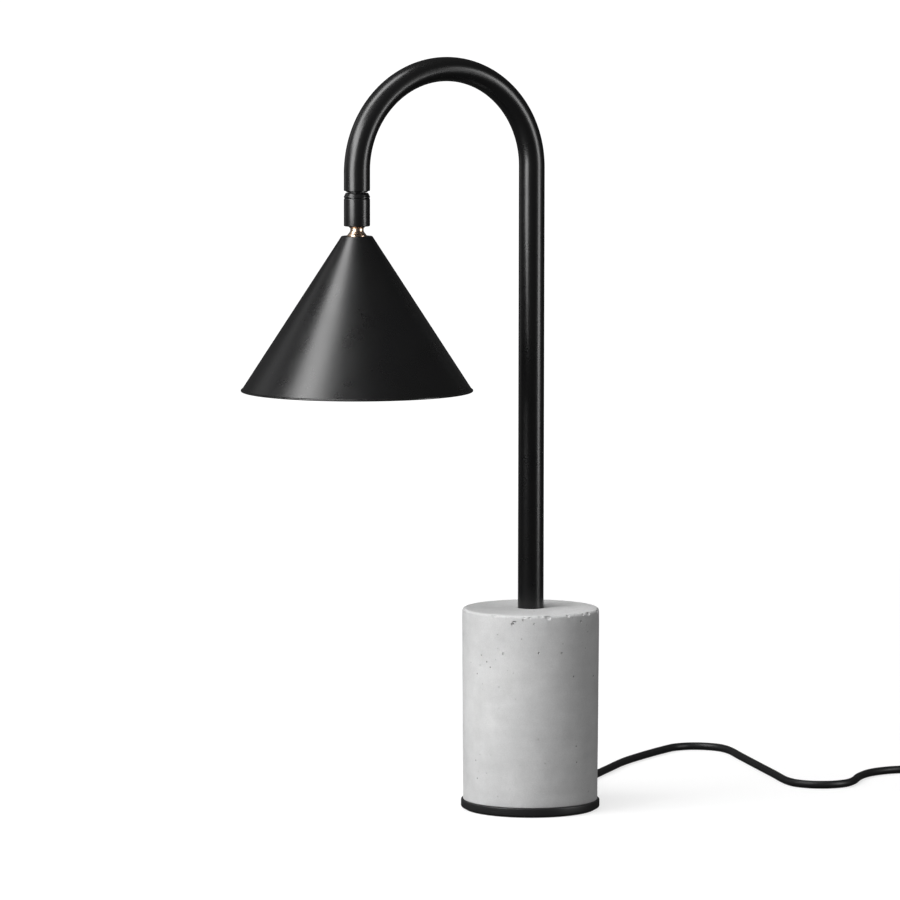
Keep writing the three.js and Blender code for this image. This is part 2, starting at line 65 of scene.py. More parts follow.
def joint_place(name):
    """A joint's position in millimetres."""
    return next(Vector(joint["pos_m"]) / MM for joint in frame["joints"] if joint["name"] == name)


def rotation(degrees, axis):
    return Matrix.Rotation(math.radians(degrees), 4, axis)


# ---- Sizes taken from the frame ----

pad_high = box_mm("base_pad")[1]
plate_low, plate_high = box_mm("base_plate")
stone_high = box_mm("concrete_base")[1]
tube_high = box_mm("stem_tube")[1]
shade_low, shade_high = box_mm("shade_shell")
stud_low = box_mm("ball_stud")[0]
sleeve_low, sleeve_high = box_mm("joint_sleeve")
collar_low, collar_high = box_mm("swivel_collar")
end_low, end_high = box_mm("leg_end_plug")
bulb_low, bulb_high = box_mm("bulb_capsule")
switch_low, switch_high = box_mm("switch_housing_bottom")
switch_top = box_mm("switch_housing_top")[1].z
coil_low, coil_high = box_mm("lead_coil")
plug_low, plug_high = box_mm("plug_body")

TUBE_RADIUS = round(sleeve_high.x - sleeve_low.x, 1) / 2
LEG_X = (shade_low.x + shade_high.x) / 2
PLATE_TOP = plate_high.z
STONE_TOP = stone_high.z
SHADE_TOP = shade_high.z
SHADE_RIM = shade_low.z
LEAD_RADIUS = 2.5


# ---- Camera ----

CAMERA_AZIMUTH = -29
CAMERA_ELEVATION = 5.7
CAMERA_DISTANCE = 3.8
CAMERA_ROLL = 0.07
CAMERA_TARGET = Vector((-0.0575, 0, 0.2268))
CAMERA_LENS = 246.9


def view_axes(azimuth, elevation):
    """Unit vectors to the right of the view, up, and back towards the viewer."""
    a, e = math.radians(azimuth), math.radians(elevation)
    back = Vector((math.sin(a) * math.cos(e), -math.cos(a) * math.cos(e), math.sin(e)))
    right = Vector((math.cos(a), math.sin(a), 0))
    return right, back.cross(right), back


def make_camera():
    right, up, back = view_axes(CAMERA_AZIMUTH, CAMERA_ELEVATION)
    turn = Matrix((right, up, back)).transposed().to_4x4()
    data = bpy.data.cameras.new("camera")
    data.lens = CAMERA_LENS
    data.clip_end = 100
    camera = bpy.data.objects.new("camera", data)
    place = Matrix.Translation(CAMERA_TARGET + back * CAMERA_DISTANCE)
    camera.matrix_world = place @ turn @ rotation(CAMERA_ROLL, "Z")
    scene.collection.objects.link(camera)
    scene.camera = camera


make_camera()


# ---- Materials ----


class Shader:
    """A Principled material whose texture nodes read object coordinates, in metres."""

    def __init__(self, name, color, roughness, metallic=0.0, specular=0.5):
        self.material = bpy.data.materials.new(name)
        self.material.use_nodes = True
        self.tree = self.material.node_tree
        self.surface = self.tree.nodes["Principled BSDF"]
        self.surface.inputs["Base Color"].default_value = (*color, 1)
        self.surface.inputs["Roughness"].default_value = roughness
        self.surface.inputs["Metallic"].default_value = metallic
        self.surface.inputs["Specular IOR Level"].default_value = specular
        self.place = self.tree.nodes.new("ShaderNodeTexCoord").outputs["Object"]
        self.height = None

    def node(self, kind, **values):
        made = self.tree.nodes.new(kind)
        for key, value in values.items():
            if isinstance(value, str):
                setattr(made, key, value)
            else:
                made.inputs[key.replace("_", " ")].default_value = value
        return made

    def link(self, source, target):
        self.tree.links.new(source, target)

    def stretched(self, x, y, z):
        """Object coordinates scaled along each axis."""
        mapping = self.node("ShaderNodeMapping")
        mapping.inputs["Scale"].default_value = (x, y, z)
        self.link(self.place, mapping.inputs["Vector"])
        return mapping.outputs["Vector"]

    def noise(self, scale, detail=4.0, roughness=0.55, vector=None):
        made = self.node("ShaderNodeTexNoise", Scale=scale, Detail=detail, Roughness=roughness)
        self.link(vector or self.place, made.inputs["Vector"])
        return made.outputs["Fac"]

    def cells(self, scale):
        made = self.node("ShaderNodeTexVoronoi", Scale=scale)
        self.link(self.place, made.inputs["Vector"])
        return made.outputs["Distance"]

    def remap(self, source, low, high, out_low, out_high):
        made = self.node("ShaderNodeMapRange")
        limits = {"From Min": low, "From Max": high, "To Min": out_low, "To Max": out_high}
        for name, value in limits.items():
            made.inputs[name].default_value = value
        self.link(source, made.inputs["Value"])
        return made.outputs["Result"]

    def ramp(self, source, *stops):
        """Colours by position, each stop (position, (r, g, b))."""
        made = self.node("ShaderNodeValToRGB")
        elements = made.color_ramp.elements
        while len(elements) < len(stops):
            elements.new(0.5)
        for element, (position, color) in zip(elements, stops):
            element.position = position
            element.color = (*color, 1)
        self.link(source, made.inputs["Fac"])
        return made.outputs["Color"]

    def mixed(self, factor, a, b, blend="MIX"):
        made = self.tree.nodes.new("ShaderNodeMix")
        made.data_type = "RGBA"
        made.blend_type = blend
        for value, index in ((factor, 0), (a, 6), (b, 7)):
            if isinstance(value, (int, float)):
                made.inputs[index].default_value = value
            elif isinstance(value, tuple):
                made.inputs[index].default_value = (*value, 1)
            else:
                self.link(value, made.inputs[index])
        return made.outputs[2]

    def color(self, source):
        self.link(source, self.surface.inputs["Base Color"])

    def rough(self, source, low, high):
        """Roughness that runs from low to high with a noise output."""
        self.link(self.remap(source, 0.3, 0.7, low, high), self.surface.inputs["Roughness"])

    def bump(self, source, depth, strength=1.0):
        """Adds one more layer of relief, depth in metres."""
        made = self.node("ShaderNodeBump", Strength=strength, Distance=depth)
        self.link(source, made.inputs["Height"])
        if self.height is not None:
            self.link(self.height, made.inputs["Normal"])
        self.height = made.outputs["Normal"]
        self.link(self.height, self.surface.inputs["Normal"])


def satin_black(name, color=0.0045, roughness=(0.26, 0.31), grain=0.00002):
    """Powder-coated metal: a faint orange peel and small swings in sheen."""
    s = Shader(name, (color,) * 3, sum(roughness) / 2)
    broad = s.noise(18, 3)
    s.color(s.ramp(broad, (0.3, (color * 0.9,) * 3), (0.7, (color, color, color * 1.08))))
    s.rough(s.noise(60, 5), *roughness)
    s.bump(s.noise(1400, 2), grain, 0.6)
    s.bump(s.noise(260, 2), grain * 1.5, 0.35)
    return s.material


def cast_concrete():
    """Smooth cast concrete: cloudy greys, fine sand, pinholes dented and darkened with painted shade, and a
    few pale blooms.
    """
    s = Shader("cast_concrete", (0.62, 0.62, 0.62), 0.88, specular=0.25)
    clouds = s.noise(22, 6, 0.6)
    grey = s.ramp(
        clouds, (0.28, (0.545, 0.547, 0.549)), (0.5, (0.585, 0.586, 0.587)), (0.72, (0.620, 0.620, 0.618))
    )
    patches = s.noise(75, 5, 0.62)
    grey = s.mixed(0.55, grey, s.ramp(patches, (0.3, (0.86,) * 3), (0.7, (1.08,) * 3)), "MULTIPLY")
    streaks = s.noise(14, 4, 0.6, s.stretched(1, 1, 6))
    grey = s.mixed(0.5, grey, s.ramp(streaks, (0.35, (0.93,) * 3), (0.65, (1.04,) * 3)), "MULTIPLY")
    sand = s.noise(1600, 3, 0.7)
    grey = s.mixed(0.5, grey, s.ramp(sand, (0.3, (0.84,) * 3), (0.7, (1.12,) * 3)), "MULTIPLY")
    holes = s.remap(s.cells(170), 0.05, 0.11, 1.0, 0.0)
    sparse = s.remap(s.noise(40, 2), 0.52, 0.62, 0.0, 1.0)
    pinhole_dents_and_shade = s.node("ShaderNodeMath", operation="MULTIPLY")
    s.link(holes, pinhole_dents_and_shade.inputs[0])
    s.link(sparse, pinhole_dents_and_shade.inputs[1])
    # Painted shade: the pinholes are coloured a dark grey, standing for the shade inside them; the bump
    # below also dents them.
    grey = s.mixed(pinhole_dents_and_shade.outputs[0], grey, (0.16, 0.16, 0.16))
    s.color(grey)
    s.rough(patches, 0.82, 0.94)
    s.bump(s.noise(900, 5, 0.65), 0.00012, 0.5)
    s.bump(s.noise(90, 4), 0.0005, 0.25)
    s.bump(s.remap(pinhole_dents_and_shade.outputs[0], 0, 1, 1, 0), 0.0004, 0.5)
    return s.material


def turned_metal(name, color, roughness, line_scale=2600, depth=0.000006):
    """Lathe-turned metal: fine rings about the piece's axis and a little tarnish."""
    s = Shader(name, color, roughness[0], metallic=1.0)
    rings = s.noise(1, 2, 0.5, s.stretched(3, 3, line_scale))
    tarnish = s.noise(160, 5, 0.6)
    dull = tuple(c * 0.82 for c in color)
    s.color(s.ramp(tarnish, (0.35, dull), (0.6, color)))
    s.rough(tarnish, *roughness)
    s.bump(rings, depth, 0.6)
    return s.material


def plated_steel(name, color=0.58, roughness=(0.28, 0.42)):
    """Zinc-plated steel with a faint cloudy passivation."""
    s = Shader(name, (color,) * 3, 0.35, metallic=1.0)
    clouds = s.noise(220, 5, 0.6)
    dull, clear = (color * 0.86, color * 0.87, color * 0.9), (color, color * 0.99, color * 0.95)
    s.color(s.ramp(clouds, (0.3, dull), (0.7, clear)))
    s.rough(clouds, *roughness)
    s.bump(s.noise(1800, 3), 0.00001, 0.5)
    return s.material


def moulded(name, color, roughness, grain_scale=2200, grain=0.00003, specular=0.5, swing=0.1):
    """Moulded plastic or rubber: fine spark grain, slightly uneven sheen, a swing in its colour."""
    s = Shader(name, color, sum(roughness) / 2, specular=specular)
    uneven = s.noise(90, 4)
    dark, light = (tuple(c * share for c in color) for share in (1 - swing, 1 + swing))
    s.color(s.ramp(uneven, (0.3, dark), (0.7, light)))
    s.rough(s.noise(320, 3), *roughness)
    s.bump(s.noise(grain_scale, 3), grain, 0.6)
    return s.material


def woven_strap(name):
    """Hook-and-loop strap: a fine ribbed weave."""
    s = Shader(name, (0.014,) * 3, 0.9, specular=0.2)
    s.bump(s.noise(1, 2, 0.5, s.stretched(4200, 4200, 900)), 0.0002, 0.8)
    s.color(s.ramp(s.noise(1300, 4), (0.3, (0.009,) * 3), (0.7, (0.022,) * 3)))
    return s.material


PAINT = satin_black("black_paint")
PLATE_PAINT = satin_black("plate_paint", 0.016, (0.40, 0.47), 0.00004)
CONCRETE = cast_concrete()
BRASS = turned_metal("polished_brass", (0.80, 0.60, 0.45), (0.24, 0.32))
RAW_BRASS = turned_metal("raw_brass", (0.72, 0.55, 0.28), (0.28, 0.4))
ZINC = plated_steel("zinc_steel")
NICKEL = plated_steel("nickel_pin", 0.68, (0.16, 0.26))
PVC = moulded("black_pvc", (0.0105, 0.0105, 0.011), (0.42, 0.5), 1500, 0.00002)
RUBBER = moulded("black_rubber", (0.012, 0.012, 0.012), (0.55, 0.65), 1800, 0.00004)
PAD_RUBBER = moulded("pad_rubber", (0.02, 0.02, 0.021), (0.8, 0.9), 900, 0.0001, 0.3)
HOUSING = moulded("housing_plastic", (0.013, 0.013, 0.013), (0.46, 0.56), 2400, 0.00005)
ROCKER_PLASTIC = moulded("rocker_plastic", (0.018, 0.018, 0.018), (0.3, 0.36), 2600, 0.00002)
WHITE_PAINT = moulded("shade_lining", (0.80, 0.79, 0.77), (0.5, 0.58), 1400, 0.00003, swing=0.015)
NYLON = moulded("nylon", (0.72, 0.70, 0.64), (0.45, 0.55), 1700, 0.00002)
CERAMIC = moulded("steatite", (0.80, 0.78, 0.72), (0.42, 0.55), 800, 0.00005, swing=0.03)
FROSTED = moulded("frosted_glass", (0.90, 0.89, 0.86), (0.2, 0.26), 3000, 0.00001, swing=0.02)
STRAP = woven_strap("strap_weave")


# ---- Mesh tools ----


def rounded(points, closed=False, steps=4):
    """An outline whose corners carry their own fillet: each point is (a, b) or (a, b, fillet)."""
    count = len(points)
    out = []
    for i, point in enumerate(points):
        fillet = point[2] if len(point) > 2 else 0
        here = Vector(point[:2])
        if not fillet or (not closed and i in (0, count - 1)):
            out.append(tuple(here))
            continue
        before = Vector(points[i - 1][:2]) - here
        after = Vector(points[(i + 1) % count][:2]) - here
        angle = before.angle(after)
        reach = min(fillet / math.tan(angle / 2), before.length * 0.49, after.length * 0.49)
        radius = reach * math.tan(angle / 2)
        start, end = here + before.normalized() * reach, here + after.normalized() * reach
        middle = (before.normalized() + after.normalized()).normalized()
        centre = here + middle * math.hypot(reach, radius)
        a, b = start - centre, end - centre
        sweep = a.angle_signed(b)
        out += [tuple(centre + Matrix.Rotation(-sweep * k / steps, 2) @ a) for k in range(steps + 1)]
    return out


def arc(centre, radius, start, end, steps):
    """Points of an arc in an outline, angles in degrees."""
    angles = (math.radians(start + (end - start) * k / steps) for k in range(steps + 1))
    return [(centre[0] + radius * math.cos(t), centre[1] + radius * math.sin(t)) for t in angles]


def new_object(name, vertices, faces, material, sharp=35):
    """A smooth-shaded mesh object, vertices in millimetres, with edges sharper than an angle kept crisp."""
    mesh = bpy.data.meshes.new(name)
    mesh.from_pydata([Vector(v) * MM for v in vertices], [], faces)
    obj = bpy.data.objects.new(name, mesh)
    scene.collection.objects.link(obj)
    obj.data.materials.append(material)
    tidy_normals(obj, sharp)
    return obj


def tidy_normals(obj, sharp=35):
    work = bmesh.new()
    work.from_mesh(obj.data)
    bmesh.ops.remove_doubles(work, verts=work.verts, dist=1e-7)
    bmesh.ops.recalc_face_normals(work, faces=work.faces)
    work.to_mesh(obj.data)
    work.free()
    obj.data.shade_smooth()
    obj.data.set_sharp_from_angle(angle=math.radians(sharp))


def lathe(name, outline, material, centre=(0, 0), segments=128, sharp=35):
    """A body turned about a vertical axis from (radius, height) points, closed unless its ends are on it."""
    on_axis = outline[0][0] < 1e-6 and outline[-1][0] < 1e-6
    vertices, rings = [], []
    for radius, height in outline:
        if radius < 1e-6:
            rings.append([len(vertices)] * segments)
            vertices.append((centre[0], centre[1], height))
            continue
        rings.append(list(range(len(vertices), len(vertices) + segments)))
        for k in range(segments):
            angle = TURN * k / segments
            x, y = radius * math.cos(angle), radius * math.sin(angle)
            vertices.append((centre[0] + x, centre[1] + y, height))
    pairs = list(zip(rings, rings[1:]))
    if not on_axis:
        pairs.append((rings[-1], rings[0]))
    faces = []
    for a, b in pairs:
        for k in range(segments):
            n = (k + 1) % segments
            corners = [a[k], a[n], b[n], b[k]]
            kept = [c for i, c in enumerate(corners) if c != corners[i - 1]]
            if len(kept) > 2:
                faces.append(kept)
    return new_object(name, vertices, faces, material, sharp)


def drawn_faces(count):
    """Faces between two copies of an outline, and over both of its ends."""
    sides = [(k, (k + 1) % count, count + (k + 1) % count, count + k) for k in range(count)]
    return [tuple(reversed(range(count))), tuple(range(count, 2 * count)), *sides]


def prism(name, outline, low, high, material, sharp=35):
    """A flat outline of (x, y) points drawn up from low to high."""
    vertices = [(x, y, z) for z in (low, high) for x, y in outline]
    return new_object(name, vertices, drawn_faces(len(outline)), material, sharp)


def rounded_rectangle(width, depth, corner, steps):
    x, y = width / 2, depth / 2
    return rounded([(-x, -y, corner), (x, -y, corner), (x, y, corner), (-x, y, corner)], True, steps)


def soften(obj, width, segments, angle):
    """Adds a modifier that rounds edges sharper than an angle in degrees."""
    modifier = obj.modifiers.new("edge", "BEVEL")
    modifier.width = width * MM
    modifier.segments = segments
    modifier.limit_method = "ANGLE"
    modifier.angle_limit = math.radians(angle)


def bevel(obj, width, segments, angle):
    """Rounds the sharp edges for good."""
    soften(obj, width, segments, angle)
    apply_modifiers(obj)
    tidy_normals(obj, 50)


def apply_modifiers(obj):
    evaluated = obj.evaluated_get(bpy.context.evaluated_depsgraph_get())
    mesh = bpy.data.meshes.new_from_object(evaluated)
    obj.modifiers.clear()
    obj.data = mesh


def cut(obj, cutter, sharp=35, crossing=False):
    """Takes cutter out of obj and deletes it; crossing says that the cutter's own shells may overlap."""
    modifier = obj.modifiers.new("cut", "BOOLEAN")
    modifier.object = cutter
    modifier.solver = "EXACT"
    modifier.use_self = crossing
    apply_modifiers(obj)
    bpy.data.objects.remove(cutter)
    tidy_normals(obj, sharp)


def drill(obj, outline, places, material, segments=32, sharp=50):
    """Cuts the same turned hole at each place."""
    for place in places:
        cut(obj, lathe("hole", outline, material, (place[0], place[1]), segments), sharp)


def moved(obj, matrix):
    """Bakes a placement, in millimetres, into the mesh."""
    shift = matrix.copy()
    shift.translation *= MM
    obj.data.transform(shift)
    return obj


def finish_piece(obj, body, slot, *stands_for):
    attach(obj, body)
    if stands_for:
        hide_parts(*stands_for)
    return obj


def dress(material, *names, width=0.0, segments=2):
    """Gives carried-over CAD nodes their finish, smooth shading and, where asked, softened edges."""
    for name in names:
        obj = nodes[name]
        obj.data.materials.clear()
        obj.data.materials.append(material)
        obj.data.shade_smooth()
        obj.data.set_sharp_from_angle(angle=math.radians(28))
        if width:
            soften(obj, width, segments, 40)


# ---- The lead ----

LAY = 2.6  # height of the lead's centre where it lies on the table
GLAND_HEIGHT = 13.5
GLAND_ANGLE = math.radians(41)
GLAND_TIP = 68.0
GLAND_WAY = Vector((math.cos(GLAND_ANGLE), math.sin(GLAND_ANGLE), 0))
SWITCH_X = (switch_low.x + switch_high.x) / 2
SWITCH_MIDDLE = switch_high.z
SWITCH_NEAR = box_mm("switch_relief_near")[1].y
SWITCH_FAR = box_mm("switch_relief_far")[0].y
COIL_CENTRE = (coil_low + coil_high) / 2
COIL_INNER = 17.2
PLUG_NEAR = box_mm("plug_relief")[1].x
PLUG_Y = (plug_low.y + plug_high.y) / 2
PLUG_MIDDLE = (plug_low.z + plug_high.z) / 2

lamp_route = [
    tuple(GLAND_WAY * GLAND_TIP + Vector((0, 0, GLAND_HEIGHT))),
    (57.5, 50, 13.2),
    (65, 56.5, 11),
    (73, 63.5, 6.4),
    (81, 70.5, 3.4),
    (88.5, 77, LAY),
    (113, 98.5, LAY),
    (143.5, 125, LAY),
    (192.5, 156.5, LAY),
    (202.3, 161, LAY),
    (213, 160.5, LAY),
    (222, 154.5, LAY),
    (227, 145, LAY),
    (227, 134, LAY),
    (219, 105, LAY),
    (208.5, 68, LAY),
    (198, 30.5, LAY),
    (190, 1.5, LAY),
    (190, -9.7, LAY),
    (195.6, -19.4, LAY),
    (205.3, -25, LAY),
    (216.5, -25, LAY),
    (226, -19.5, LAY),
    (241.5, -4, LAY),
    (256, 5.5, LAY),
    (273, 8.5, LAY),
    (289, 4, LAY),
    (300, -5.5, 3.2),
    (305.5, -17, 4.6),
    (SWITCH_X, -30, 6.6),
    (SWITCH_X, SWITCH_NEAR, SWITCH_MIDDLE),
]


def coil_turns():
    """Three turns inwards on the table, a climb, and three turns outwards on top, a lead apart."""
    outer = (coil_high.x - coil_low.x) / 2 - LEAD_RADIUS
    pitch = 2 * LEAD_RADIUS + 0.1
    low = coil_low.z + LEAD_RADIUS
    high = coil_high.z - LEAD_RADIUS
    inner_turns, climb_turns, total = 3.0, 1 / 3, 6.25
    inner = outer - pitch * inner_turns
    per_turn = 40
    points = []
    for k in range(int(total * per_turn) + 1):
        turn = k / per_turn
        if turn < inner_turns:
            radius, height = outer - pitch * turn, low
        elif turn < inner_turns + climb_turns:
            share = (turn - inner_turns) / climb_turns
            radius, height = inner, low + (high - low) * share * share * (3 - 2 * share)
        else:
            share = (turn - inner_turns - climb_turns) / (total - inner_turns - climb_turns)
            radius, height = inner + (outer - inner) * share, high
        angle = -TURN * turn
        x, y = radius * math.cos(angle), radius * math.sin(angle)
        points.append((COIL_CENTRE.x + x, COIL_CENTRE.y + y, height))
    return points


def smooth_path(points, spacing=2.0):
    """A centripetal Catmull-Rom curve through the points, in even steps, as a list of vectors."""
    fine_step, softenings = 0.5, 6
    p = [Vector(q) for q in points]
    p = [2 * p[0] - p[1], *p, 2 * p[-1] - p[-2]]
    dense = []
    for a, b, c, d in zip(p, p[1:], p[2:], p[3:]):
        t1 = math.sqrt((b - a).length)
        t2 = t1 + math.sqrt((c - b).length)
        t3 = t2 + math.sqrt((d - c).length)
        steps = max(2, int((c - b).length / fine_step))
        for k in range(steps):
            t = t1 + (t2 - t1) * k / steps
            ab = a.lerp(b, t / t1)
            bc = b.lerp(c, (t - t1) / (t2 - t1))
            cd = c.lerp(d, (t - t2) / (t3 - t2))
            abc = ab.lerp(bc, t / t2)
            bcd = bc.lerp(cd, (t - t1) / (t3 - t1))
            dense.append(abc.lerp(bcd, (t - t1) / (t2 - t1)))
    dense.append(p[-2])
    for _ in range(softenings):
        middle = [(a + 2 * b + c) / 4 for a, b, c in zip(dense, dense[1:], dense[2:])]
        dense = [dense[0], *middle, dense[-1]]
    even, left = [dense[0]], spacing
    for a, b in zip(dense, dense[1:]):
        step = (b - a).length
        while left <= step:
            even.append(a.lerp(b, left / step))
            left += spacing
        left -= step
    even.append(dense[-1])
    return even


def make_lead():
    inside_gland = tuple(GLAND_WAY * (GLAND_TIP - 8) + Vector((0, 0, GLAND_HEIGHT)))
    through_switch = [
        (SWITCH_X, SWITCH_NEAR - 20, SWITCH_MIDDLE),
        (SWITCH_X, SWITCH_FAR + 20, SWITCH_MIDDLE),
        (SWITCH_X, SWITCH_FAR, SWITCH_MIDDLE),
        (SWITCH_X, SWITCH_FAR - 10, 6.2),
        (SWITCH_X, SWITCH_FAR - 22, 4.2),
    ]
    tail = [
        (COIL_CENTRE.x - 12, PLUG_Y, 8.1),
        (COIL_CENTRE.x - 22, PLUG_Y, 7.3),
        (PLUG_NEAR, PLUG_Y, PLUG_MIDDLE),
        (PLUG_NEAR - 12, PLUG_Y, PLUG_MIDDLE),
    ]
    path = smooth_path([inside_gland, *lamp_route, *through_switch, *coil_turns(), *tail])
    data = bpy.data.curves.new("power_lead", "CURVE")
    data.dimensions = "3D"
    data.bevel_depth = LEAD_RADIUS * MM
    data.bevel_resolution = 5
    data.use_fill_caps = True
    spline = data.splines.new("POLY")
    spline.points.add(len(path) - 1)
    for point, at in zip(spline.points, path):
        point.co = (*(at * MM), 1)
    spline.use_smooth = True
    lead = bpy.data.objects.new("power_lead", data)
    scene.collection.objects.link(lead)
    data.materials.append(PVC)
    replaced = ("lead_to_switch", "lead_to_coil", "lead_to_plug", "lead_coil")
    return finish_piece(lead, "stand", "black_rubber", *replaced)


lead = make_lead()


# ---- Base ----


def turned_on(axis_turn, outline, name, material, segments=64, sharp=35):
    """A lathe about Z, then placed by a matrix in millimetres."""
    obj = lathe(name, outline, material, segments=segments, sharp=sharp)
    return moved(obj, axis_turn)


def along_gland():
    """Turns Z to the way the lead leaves the base, with zero at the stem's axis."""
    turn = Matrix.Rotation(GLAND_ANGLE, 4, "Z") @ rotation(90, "Y")
    return Matrix.Translation((0, 0, GLAND_HEIGHT)) @ turn


SCREW_PLACES = [sum(box_mm(f"plate_screw_{i}"), Vector()) / 2 for i in (1, 2, 3)]


def make_pad():
    radius = pad_high.x
    outline = rounded([(0, 0), (radius, 0, 0.3), (radius, pad_high.z, 0.25), (0, pad_high.z)])
    pad = lathe("rubber_pad", outline, PAD_RUBBER, segments=160)
    finish_piece(pad, "stand", "pad_rubber", "base_pad")


def make_plate():
    radius, low = plate_high.x, plate_low.z
    outline = rounded([(0, low), (radius, low, 0.9), (radius, PLATE_TOP, 0.7), (0, PLATE_TOP)], steps=5)
    plate = lathe("foot_plate", outline, PLATE_PAINT, segments=192, sharp=50)
    hole = [(0, low - 1), (4, low - 1), (4, low + 0.5), (2.3, low + 2.4), (2.3, PLATE_TOP + 1)]
    drill(plate, [*hole, (0, PLATE_TOP + 1)], SCREW_PLACES, PLATE_PAINT)
    finish_piece(plate, "stand", "black_metal", "base_plate")


SOCKET_RADIUS = 8.45
SOCKET_FLOOR = STONE_TOP - 50
CAVITY_RADIUS = 24
CAVITY_TOP = PLATE_TOP + 28
NIPPLE_BORE = 5.5
STONE_DRAFT = 0.8


def stone_radius(height):
    """The concrete draws in slightly towards its foot."""
    return stone_high.x - STONE_DRAFT * (STONE_TOP - height) / (STONE_TOP - PLATE_TOP)


def blob(radius, stretch, seed, roughness):
    """An uneven pebble shape, as a bmesh at the origin in millimetres."""
    draw = random.Random(seed)
    work = bmesh.new()
    bmesh.ops.create_icosphere(work, subdivisions=2, radius=radius)
    for vertex in work.verts:
        vertex.co *= 1 + roughness * (draw.random() - 0.5)
        vertex.co = Vector(a * b for a, b in zip(vertex.co, stretch))
    return work


def cutters(name, shapes):
    """One mesh from (bmesh, matrix) pairs in millimetres, freeing each bmesh."""
    mesh = bpy.data.meshes.new(name)
    whole = bmesh.new()
    for work, place in shapes:
        work.transform(place)
        piece = bpy.data.meshes.new("part")
        work.to_mesh(piece)
        work.free()
        whole.from_mesh(piece)
        bpy.data.meshes.remove(piece)
    bmesh.ops.scale(whole, vec=(MM, MM, MM), verts=whole.verts)
    whole.to_mesh(mesh)
    whole.free()
    obj = bpy.data.objects.new(name, mesh)
    scene.collection.objects.link(obj)
    return obj


def on_stone(angle, height, depth):
    """A place on the concrete's side facing out, angle in degrees from +X, sunk by depth."""
    return rotation(angle, "Z") @ Matrix.Translation((stone_radius(height) - depth, 0, height))


def air_hole(angle, height, radius, stretch, seed, roughness):
    """A hole in the concrete's side, cut a little deeper the larger it is."""
    return blob(radius, stretch, seed, roughness), on_stone(angle, height, 0.15 + 0.1 * radius)


# The side that faces the camera, degrees from +X.
FRONT = CAMERA_AZIMUTH - 90

# Air holes that are large enough to see: degrees right of the front, height, radius.
AIR_HOLES = [
    (-16, 120.3, 1.15),
    (-7, 123.0, 0.65),
    (2, 120.7, 0.55),
    (-22, 124.0, 0.55),
    (46, 120.8, 0.8),
    (-29, 113.6, 0.45),
    (-8, 111.4, 0.5),
    (-29, 105, 0.4),
    (-24, 101.9, 0.9),
    (6, 102.6, 0.65),
    (26, 102.1, 0.75),
    (-46, 99.7, 0.6),
    (-31, 97.8, 0.5),
    (-48, 93.5, 0.5),
    (38, 87, 0.55),
    (66, 85, 0.95),
    (-20, 91.5, 0.35),
    (-28, 81, 0.45),
    (-13, 74, 0.45),
    (-28, 68, 0.35),
    (6, 49, 0.5),
    (30, 39, 0.4),
    (-36, 38, 0.4),
    (12, 34, 0.45),
    (-41, 26.5, 0.45),
    (-29, 12.6, 0.5),
]

# Chips along the top edge: degrees right of the front, size, how far below the top.
RIM_CHIPS = [
    (-33, 1.9, 0.5),
    (-21, 0.8, 0.3),
    (-14, 1.3, 3.6),
    (-6, 0.8, 0.8),
    (-1, 1.1, 0.7),
    (7, 1.3, 0.3),
    (14, 2.1, 0.8),
    (20, 0.8, 0.2),
    (32, 1.5, 0.6),
    (39, 0.8, 0.3),
    (49, 1.4, 0.4),
    (57, 2.2, 0.6),
]


def weathered(stone):
    """Makes the cast face and its rim a little uneven, as a worn mould leaves them."""
    for vertex in stone.data.vertices:
        x, y, z = vertex.co / MM
        if math.hypot(x, y) < CAVITY_RADIUS + 4 or z < PLATE_TOP + 1:
            continue
        broad = noise.noise(Vector((x, y, z)) / 16)
        fine = noise.noise(Vector((x, y, z)) / 3.2 + Vector((7, 0, 0)))
        near_rim = max(0, 1 - (STONE_TOP - z) / 5)
        inwards = 0.06 * (1 + broad) + near_rim * 0.16 * (1 + fine)
        vertex.co -= Vector((x, y, 0)).normalized() * inwards * MM
        vertex.co.z -= near_rim * 0.05 * (1 + fine) * MM


